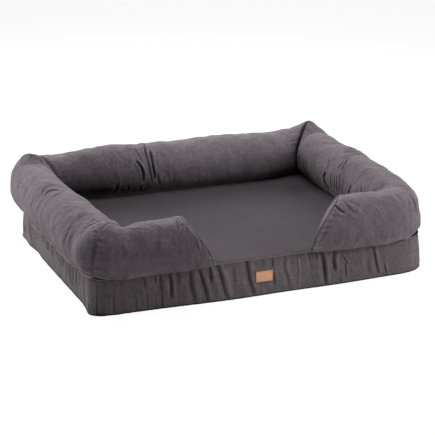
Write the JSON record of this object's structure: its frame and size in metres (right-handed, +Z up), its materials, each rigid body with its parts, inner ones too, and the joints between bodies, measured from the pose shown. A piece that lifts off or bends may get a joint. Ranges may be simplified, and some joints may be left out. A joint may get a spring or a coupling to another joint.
{
  "type": "dog mattress",
  "caption": "Orthopaedic foam dog mattress in charcoal cloth, with a stuffed bolster round three sides and short front returns that leave an entrance.",
  "frame": {"origin": "middle of the footprint, on the floor", "axes": "+X to the right along the long side, +Z up, the entrance faces -Y"},
  "size_m": [1.282, 1.0019, 0.3104],
  "materials": {
    "cover_cloth": "matte",
    "grip_cloth": "matte",
    "base_foam": "matte",
    "comfort_foam": "matte",
    "fibre_fill": "matte",
    "label_leather": "satin",
    "zip_tape": "matte",
    "zip_teeth": "satin",
    "zip_metal": "satin"
  },
  "bodies": {
    "root": {"base_foam": "base_foam", "memory_foam": "comfort_foam", "top_panel": "cover_cloth", "bottom_panel": "grip_cloth", "front_band": "cover_cloth", "left_band": "cover_cloth", "right_band": "cover_cloth", "back_band_upper": "cover_cloth", "back_band_lower": "cover_cloth", "label_patch": "label_leather", "zip_tape_upper": "zip_tape", "zip_tape_lower": "zip_tape", "zip_teeth_upper": "zip_teeth", "zip_teeth_lower": "zip_teeth", "zip_top_stops": "zip_metal", "zip_bottom_stop": "zip_metal", "back_bolster_cover": "cover_cloth", "left_bolster_cover": "cover_cloth", "right_bolster_cover": "cover_cloth", "left_return_cover": "cover_cloth", "right_return_cover": "cover_cloth", "left_return_end": "cover_cloth", "right_return_end": "cover_cloth", "back_bolster_fill": "fibre_fill", "left_bolster_fill": "fibre_fill", "right_bolster_fill": "fibre_fill", "left_return_fill": "fibre_fill", "right_return_fill": "fibre_fill"},
    "slider": {"zip_slider": "zip_metal"},
    "pull": {"zip_pull": "zip_metal"}
  },
  "joints": [
    {"name": "zip_slide", "type": "slide", "parent": "root", "child": "slider", "axis": [1, 0, 0], "range_m": [0, 0.955], "deforming": ["zip_teeth_upper", "zip_teeth_lower"]},
    {"name": "pull_swing", "type": "hinge", "parent": "slider", "child": "pull", "pos_m": [-0.4815, 0.46293, 0.06], "axis": [0, 0, -1], "range_deg": [0, 180]}
  ]
}
